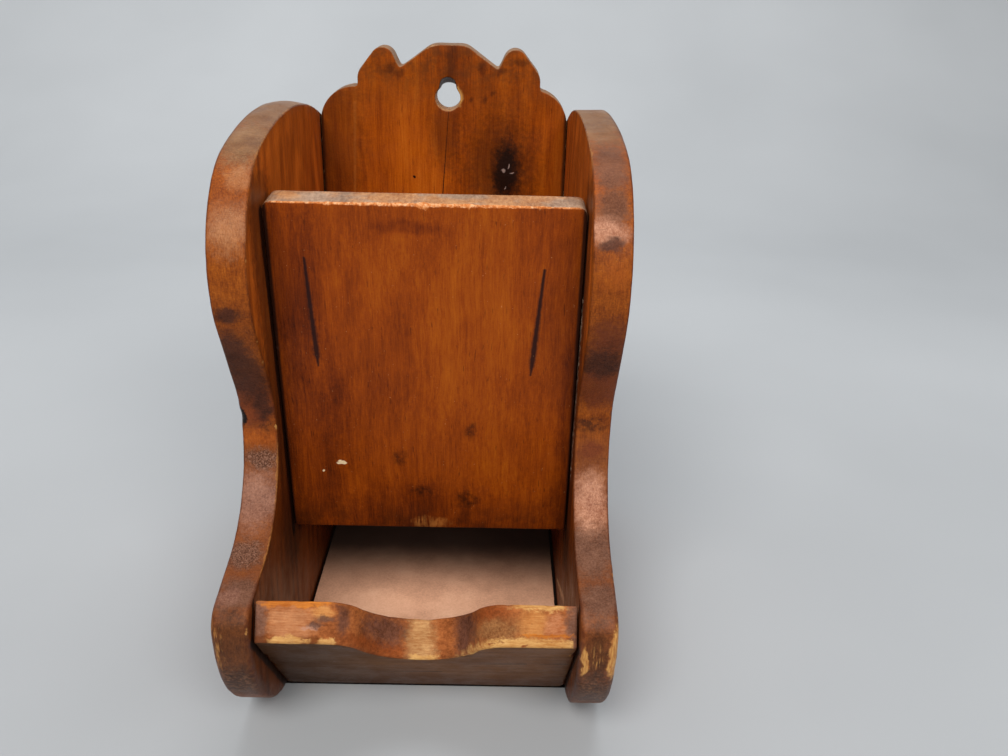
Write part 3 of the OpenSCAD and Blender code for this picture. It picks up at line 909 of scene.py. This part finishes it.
def make_lip_wood():
    """Tray lip: a rubbed top edge in bare, brown and purple patches, and a grey-brown face."""
    wood = Pine("lip_wood", "x", 0.04)
    mottled = wood.mottled
    across, _, height = wood.axes(wood.ragged)
    tone = wood.grain((0, -40, 10), 0.05, 6, 120)
    face = wood.coats(
        wood.tones(tone, (0.1, 56, 32, 17), (0.5, 108, 68, 40), (0.9, 146, 102, 66)),
        ((74, 42, 28), wood.ramp(height, 24, 8), 0.5),
        ((46, 27, 13), wood.ramp(across, 10, -60), 0.7),
        (UMBER, wood.dashes(0.06, 120), 0.6),
        *((UMBER, wood.stroke(*crack, LIP_CRACK_WIDTH), 0.85) for crack in LIP_CRACKS))

    backward = wood.linear(wood.wear("across"), LIP_DEPTH, wood.swing(wood.noise(3, 4, 0.7, 126), 5))
    flat = wood.node("ShaderNodeCombineXYZ", {0: across, 2: backward}).outputs[0]

    def spots(soft, *rows):
        """Marks on the top edge, as rows of x, mm back from the front arris, and their radii."""
        return wood.spots(soft, marks_at(0, 1, *rows), flat)

    thread = (9, 0.7, 0.7)
    edge = wood.coats(
        mottled((104, 52, 26), (178, 104, 56), (2.4, 1.4, 1.4), 122),
        (mottled((96, 56, 30), (178, 128, 80)), spots(0.9, (32, 6, 10, 6.5)), 0.7),
        (mottled((150, 84, 48), (214, 154, 108), thread), spots(0.8, (-49, 7, 10, 9)), 0.75),
        (mottled((156, 102, 58), (220, 174, 118), thread), spots(0.9, (0.5, 8, 6.5, 14)), 0.85),
        (mottled((170, 96, 42), (222, 158, 92), thread), spots(0.9, (46, 9, 6, 8), (-36, 12, 4, 3)), 0.75),
        (mottled((158, 84, 44), (212, 146, 102), (3, 0.9, 0.9)), spots(0.9, (54.5, 8, 5, 6)), 0.75),
        (mottled((92, 42, 19), (154, 76, 34), 1.4), spots(0.9, (29, 14, 8, 3.5), (-17, 2.5, 14, 3.5)), 0.75),
        (mottled((56, 33, 27), (114, 74, 60), (1.2, 1.2, 1.6)),
         spots(1, (-13.5, 10.5, 8, 7), (18.5, 9, 4.4, 12), (-28.8, 10, 3, 7)), 0.85),
        (mottled((76, 52, 43), (130, 98, 84)), spots(0.8, (-62, 8, 4, 16), (62.5, 9, 3.5, 12)), 0.75),
        ((196, 160, 146), spots(0.9, (-42, 5.6, 4, 1.2)), 0.35),
        (mottled((160, 82, 24), (216, 132, 50), thread),
         spots(0.6, (52, 4, 11, 0.9), (-46, 16, 15, 1.7)), 0.8),
        ((104, 54, 24), spots(0.7, (-59, 0, 5, 2.4), (-41, 0, 5, 2.4)), 0.7),
        (mottled((48, 34, 36), (112, 78, 64), 1.2),
         spots(1, (-35.5, 9.4, 3.6, 1.8), (-39.5, 6.6, 3.4, 1.4)), 0.8),
        (UMBER, wood.specks(1.2, 0.02, 120), 0.3))

    away = wood.math("ABSOLUTE", wood.axes()[0])
    outer = wood.times(wood.wear("band", 0.02, 0.12), wood.ramp(away, 61.8, 61))
    flaking = wood.blots(0.32, 0.48, (5, 1.6, 1.6), 4, 0.65, 125)
    chips = spots(
        0.6, (43, 0, 24, 3), (-52, 0, 6, 2), (-45, 0, 3, 1.2), (-34.3, 0, 4, 1.6), (2, 0, 6, 1.5),
        (48, 16, 11, 1.6))
    chipped = wood.times(chips, outer, flaking)
    bare = mottled((176, 116, 58), (226, 180, 114), thread, 127)
    color = wood.coats(face, (edge, wood.wear("band", 0.1, 0.4)), (bare, chipped, 0.95))
    return wood.varnished(color, chipped, wood.noise(1.2, 3, 0.6, 124), 129, 0.02, 0.7)


def make_hardboard():
    """Floor panel: smooth pressed board, dusty in front, with painted shade behind and along its edges."""
    shade = Shade("hardboard", 0.2)
    grain = shade.noise(0.9, 4, 0.7, 2)
    tone = shade.total(shade.times(shade.noise(26, 4, 0.6, 3), 0.6), shade.times(grain, 0.4))
    _, depth, _ = shade.axes(shade.ragged)
    color = shade.coats(
        shade.tones(tone, (0.3, 180, 134, 106), (0.5, 218, 166, 134), (0.72, 238, 191, 158)),
        # Painted shade: darker towards the back, behind the hopper front
        ((20, 12, 8), shade.ramp(depth, -4, 54), 0.96),
        # Painted shade on the panel's edges, in the gaps under the lip and beside the sides
        (SOOT_AND_SHADE, shade.wear("band", 0.2, 0.6)))
    return shade.finish(color, shade.linear(grain, 0.2, 0.5), shade.times(grain, 0.06))


def make_nail_steel():
    """Nail heads: dark, rust-bitten steel."""
    shade = Shade("nail_steel", 0.5)
    shade.shader.inputs["Metallic"].default_value = 0.7
    bite = shade.noise(0.7, 4, 0.7, 5)
    color = shade.tones(bite, (0.35, 50, 34, 26), (0.55, 84, 76, 70), (0.75, 120, 74, 44))
    return shade.finish(color, shade.linear(bite, 0.4, 0.35), shade.times(bite, 0.12))


def make_floor_grey():
    """Floor and backdrop: pale blue-grey and cloudy, with painted shade: darker to the front and in a far
    corner, and black under the box.
    """
    shade = Shade("floor_grey", 0.2)
    clouds = shade.noise(420, 3, 0.5)
    color = shade.tones(clouds, (0.3, 174, 178, 182), (0.7, 184, 188, 192))
    across, along, _ = shade.axes()
    # Painted light: brighter towards the back and darker towards the front
    color = shade.scaled(color, shade.linear(shade.ramp(along, -350, 700), 0.24, 0.9))
    # Painted shade: darker towards the far right corner
    corner = shade.times(shade.ramp(along, 0, 900), shade.ramp(across, 0, 900))
    color = shade.scaled(color, shade.linear(corner, -0.16, 1))
    # Painted shade: black under the box, seen through the gaps between its boards
    inside_x = shade.math("LESS_THAN", shade.math("ABSOLUTE", across), 68)
    inside_y = shade.math("LESS_THAN", shade.math("ABSOLUTE", shade.math("SUBTRACT", along, 16)), 76)
    color = shade.coats(color, (SOOT_AND_SHADE, inside_x, inside_y))
    return shade.finish(color, shade.linear(clouds, 0.1, 0.6))


finishes = {
    "side_wood": make_side_wood(), "back_wood": make_back_wood(), "front_wood": make_front_wood(),
    "lip_wood": make_lip_wood(), "hardboard": make_hardboard(), "nail_steel": make_nail_steel()}
floor_grey = make_floor_grey()


# Boards

# Spots where arrises are more worn, and a crown where an edge is raised, as (centre, radii, height) in mm
FOOT_WEAR = [((x, -106, z), (30, 30, 30), 2.2) for x in (-70.5, 70.5) for z in (30, 62)]
CREST_WEAR = [((x, 10, 246), (9, 90, 30), 1.3) for x in (-78.5, 78.5)]
TOE_WEAR = [((x, -100, 6), (9, 30, 28), 2.5) for x in (-78.5, 78.5)]
SIDE_WEAR = FOOT_WEAR + CREST_WEAR + [((78.5, 25, 248), (9, 60, 14), 1.6)] + TOE_WEAR
OUTER_CHIP = [((-78, -42.4, 127.5), (5, 5, 5), 2.4)]
LEFT_CROWN = [((-70, 30, 248), (40, 75, 30), 1.2)]
FRONT_END_WEAR = [((x, -32, 140), (3, 60, 160), -0.4) for x in (-63.2, 63.2)]
FRONT_WEAR = [((0, -38, 219), (66, 8, 8), 0.9)] + FRONT_END_WEAR
HOLE_WEAR = [((2, 95.5, 243), (11, 11, 11), 0.4)]

# Worn hollow at the top of the hanging hole
HOLLOW_REACH = 12 * MM
HOLLOW_FOOT = 245 * MM
HOLLOW_LIMIT = 256 * MM
HOLLOW_REAR_SHARE = 0.5


def hollow_rear(point):
    """Lowers the top of the hanging hole's worn hollow at the back of the board."""
    if abs(point.x) > HOLLOW_REACH or point.z < HOLLOW_FOOT or point.z > HOLLOW_LIMIT:
        return point
    return Vector((point.x, point.y, HOLLOW_FOOT + HOLLOW_REAR_SHARE * (point.z - HOLLOW_FOOT)))


front_normal = facing("hopper_front", -Y)
lip_normal = facing("tray_lip", -Y)

make_board("left_side_board", "left_side", X, 0.9, "side_wood", SIDE_WEAR + OUTER_CHIP, LEFT_CROWN, seed=1)
make_board("right_side_board", "right_side", -X, 0.9, "side_wood", SIDE_WEAR, seed=2)
make_board("back_panel", "back_board", -Y, 0.6, "back_wood", HOLE_WEAR, seed=3, reshape=hollow_rear)
make_board(
    "hopper_front_board", "hopper_front", front_normal, 0.7, "front_wood", FRONT_WEAR, chipping=0.6, seed=4)
make_board("tray_lip_board", "tray_lip", lip_normal, 1.0, "lip_wood", chipping=4, seed=5)
make_board("floor_sheet", "floor_panel", Z, 0.4, "hardboard", seed=6)


# Nails

def make_nails(name, node, board, outward_way):
    """Driven nails whose domed heads fill the nail holes in a board's outer face."""
    low, high = (Vector(corner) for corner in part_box(node))
    axis = -outward_way
    length = abs((high - low).dot(axis))
    points, faces = [], []
    for centre, radius in nail_holes(board, outward_way):
        profile = [(share * radius, depth) for share, depth in HEAD_PROFILE]
        profile.append((profile[-1][0], length - POINT_LENGTH))
        start = len(points)
        points.append(centre + DOME_DEPTH * axis)
        for reach, depth in profile:
            for spoke in spokes(axis):
                dent = HAMMER_DEPTH * noise.noise((centre + reach * spoke) / HAMMER_SIZE)
                points.append(centre + reach * spoke + (depth + max(dent, -DOME_DEPTH)) * axis)
        points.append(centre + length * axis)
        rings = [[start + 1 + r * NAIL_SIDES + k for k in range(NAIL_SIDES)] for r in range(len(profile))]
        for k in range(NAIL_SIDES):
            j = (k + 1) % NAIL_SIDES
            faces.append((start, rings[0][j], rings[0][k]))
            faces += [(a[k], a[j], b[j], b[k]) for a, b in zip(rings, rings[1:])]
            faces.append((rings[-1][k], rings[-1][j], len(points) - 1))
    piece(name, smooth_mesh(name, [spread(p) for p in points], faces), node, "nail_steel")


make_nails("left_nail_set", "left_nails", "left_side", -X)
make_nails("right_nail_set", "right_nails", "right_side", X)
make_nails("floor_brad_set", "floor_brads", "floor_panel", -Z)


# Floor, light and camera

LAMP_WARMTH = (1, 0.97, 0.93)
WORLD_COLOR = (0.9, 0.95, 1.0, 1)
WORLD_STRENGTH = 0.16


def sweep():
    """A floor that curves up into a backdrop."""
    width, front, rear, bend, top = 6.0, -2.5, 1.6, 0.9, 3.0
    turns = np.linspace(0.05, math.pi / 2, 24)
    profile = [(front, 0.0), (rear - bend, 0.0)]
    profile += [(rear - bend + bend * math.sin(a), bend - bend * math.cos(a)) for a in turns]
    profile.append((rear, top))
    points = [(x, y, z) for x in (-width / 2, width / 2) for y, z in profile]
    n = len(profile)
    mesh = smooth_mesh("sweep", points, [(i, n + i, n + i + 1, i + 1) for i in range(n - 1)])
    mesh.materials.append(floor_grey)
    placed("sweep", mesh)


def area_lamp(name, place, target, size, power, color=(1, 1, 1)):
    data = bpy.data.lights.new(name, "AREA")
    data.shape = "DISK"
    data.size = size
    data.energy = power
    data.color = color
    lamp = placed(name, data)
    lamp.location = place
    lamp.rotation_euler = (Vector(target) - Vector(place)).to_track_quat("-Z", "Y").to_euler()


def make_camera():
    """The photograph's own viewpoint, found from the outlines of the boards."""
    place = Vector((28.29, -402.2, 304.71)) * MM
    yaw, pitch, roll = (math.radians(a) for a in (0.681, 23.531, -1.436))
    focal_share = 941.5 / 1008
    ahead = Vector((math.sin(yaw) * math.cos(pitch), math.cos(yaw) * math.cos(pitch), -math.sin(pitch)))
    right = Vector((math.cos(yaw), -math.sin(yaw), 0))
    up = right.cross(ahead)
    tilted_right = right * math.cos(roll) - up * math.sin(roll)
    tilted_up = tilted_right.cross(ahead)
    data = bpy.data.cameras.new("camera")
    data.sensor_width = 36
    data.lens = data.sensor_width * focal_share
    data.clip_start = 0.01
    camera = placed("camera", data)
    camera.matrix_world = Matrix((tilted_right, tilted_up, -ahead)).transposed().to_4x4()
    camera.location = place
    bpy.context.scene.camera = camera


sweep()
area_lamp("key", (-0.75, -2.2, 2.6), (0, 0, 0.1), 1.5, 72, LAMP_WARMTH)
area_lamp("fill", (0.95, -2.1, 2.0), (0, 0, 0.1), 1.5, 38, LAMP_WARMTH)
area_lamp("top", (0.1, 0.5, 2.3), (0, 0.1, 0.1), 1.6, 20)
make_camera()
world = bpy.data.worlds.new("world")
world.use_nodes = True
background = world.node_tree.nodes["Background"]
background.inputs["Color"].default_value = WORLD_COLOR
background.inputs["Strength"].default_value = WORLD_STRENGTH
bpy.context.scene.world = world

bpy.context.scene.view_settings.view_transform = "Standard"
